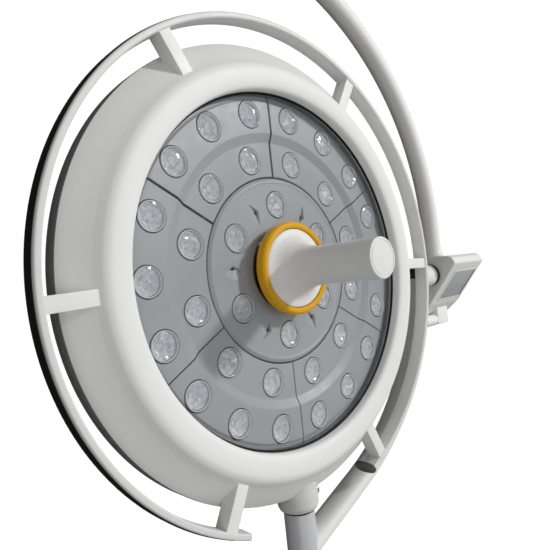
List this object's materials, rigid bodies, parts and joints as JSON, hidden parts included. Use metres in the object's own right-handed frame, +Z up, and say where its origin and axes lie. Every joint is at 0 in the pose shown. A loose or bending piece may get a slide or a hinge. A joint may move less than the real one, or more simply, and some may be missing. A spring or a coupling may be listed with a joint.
{
  "type": "surgical light",
  "caption": "Round ceiling-type LED surgical light head with grab rail and sterile handle, hung in an outer and an inner bow with a control panel at the side joint.",
  "frame": {"origin": "centre of the top face of the arm flange, on the vertical spindle axis", "axes": "+Z up along the spindle; the lamp faces -Y; the side joint and the control panel are at +X"},
  "size_m": [0.9174, 0.2493, 1.099],
  "materials": {
    "white_paint": "satin powder coat, warm white",
    "white_plastic": "satin moulded shell, warm white",
    "handle_white": "satin sterilisable plastic, white",
    "carrier_grey": "satin cool grey",
    "lens_clear": "clear faceted optics",
    "window_glass": "clear, polished, flat",
    "dark_plastic": "fine texture, charcoal",
    "black_rubber": "matt black",
    "yellow_ring": "satin golden yellow",
    "display_face": "blue grey membrane, satin",
    "steel": "turned",
    "aluminium": "machined",
    "bronze": "turned bearing bronze",
    "circuit_board": "white solder mask board"
  },
  "bodies": {
    "arm_coupling": {"arm_flange": "white_paint", "swivel_housing": "aluminium", "swivel_bush": "bronze", "coupling_cover": "white_plastic"},
    "outer_bow": {"outer_bow_tube": "white_paint", "bow_spindle": "steel", "retaining_ring": "steel", "bow_cable_cover": "white_paint", "side_hub": "aluminium", "panel_housing": "white_plastic", "panel_back_cover": "white_plastic", "panel_keypad": "white_plastic", "panel_display": "display_face", "panel_board": "circuit_board", "panel_stub": "white_plastic"},
    "inner_bow": {"inner_bow_tube": "white_paint", "hub_cap": "dark_plastic", "side_axle": "steel", "hub_seal_ring": "black_rubber", "post_tube": "white_paint", "post_foot": "white_paint", "pivot_pin": "steel"},
    "lamp_head": {"front_shell": "white_plastic", "gasket_band": "dark_plastic", "rear_cover": "white_plastic", "chassis_plate": "aluminium", "pivot_boss": "white_paint", "post_seal_ring": "black_rubber", "brake_screw": "steel", "front_window": "window_glass", "window_gasket": "black_rubber", "carrier_1": "carrier_grey", "carrier_2": "carrier_grey", "carrier_3": "carrier_grey", "carrier_4": "carrier_grey", "carrier_5": "carrier_grey", "carrier_6": "carrier_grey", "lens_array_1": "lens_clear", "lens_array_2": "lens_clear", "lens_array_3": "lens_clear", "lens_array_4": "lens_clear", "lens_array_5": "lens_clear", "lens_array_6": "lens_clear", "centre_carrier": "carrier_grey", "centre_lens_array": "lens_clear", "led_board": "circuit_board", "driver_box": "aluminium", "grab_rail": "white_paint", "rail_bumper": "black_rubber", "rail_end_cap_left": "white_paint", "rail_end_cap_right": "dark_plastic", "strut_1": "white_paint", "strut_2": "white_paint", "strut_3": "white_paint", "strut_4": "white_paint", "strut_5": "white_paint", "strut_6": "white_paint"},
    "handle_hub": {"handle_neck": "dark_plastic", "yellow_ring": "yellow_ring"},
    "sterile_handle": {"handle_sleeve": "handle_white"}
  },
  "joints": [
    {"name": "spindle_swivel", "type": "hinge", "parent": "arm_coupling", "child": "outer_bow", "pos_m": [0, 0, -0.06], "axis": [0, 0, 1], "range_deg": [-165, 165]},
    {"name": "side_tilt", "type": "hinge", "parent": "outer_bow", "child": "inner_bow", "pos_m": [0.44, 0, -0.68], "axis": [1, 0, 0], "range_deg": [-45, 225]},
    {"name": "post_swivel", "type": "hinge", "parent": "inner_bow", "child": "lamp_head", "pos_m": [0, 0, -0.96], "axis": [0, 0, 1], "range_deg": [-160, 160]},
    {"name": "focus_turn", "type": "hinge", "parent": "lamp_head", "child": "handle_hub", "pos_m": [0, -0.042, -0.64], "axis": [0, -1, 0], "range_deg": [-60, 60]},
    {"name": "sleeve_pull_off", "type": "slide", "parent": "handle_hub", "child": "sterile_handle", "axis": [0, -1, 0], "range_m": [0, 0.16]}
  ]
}
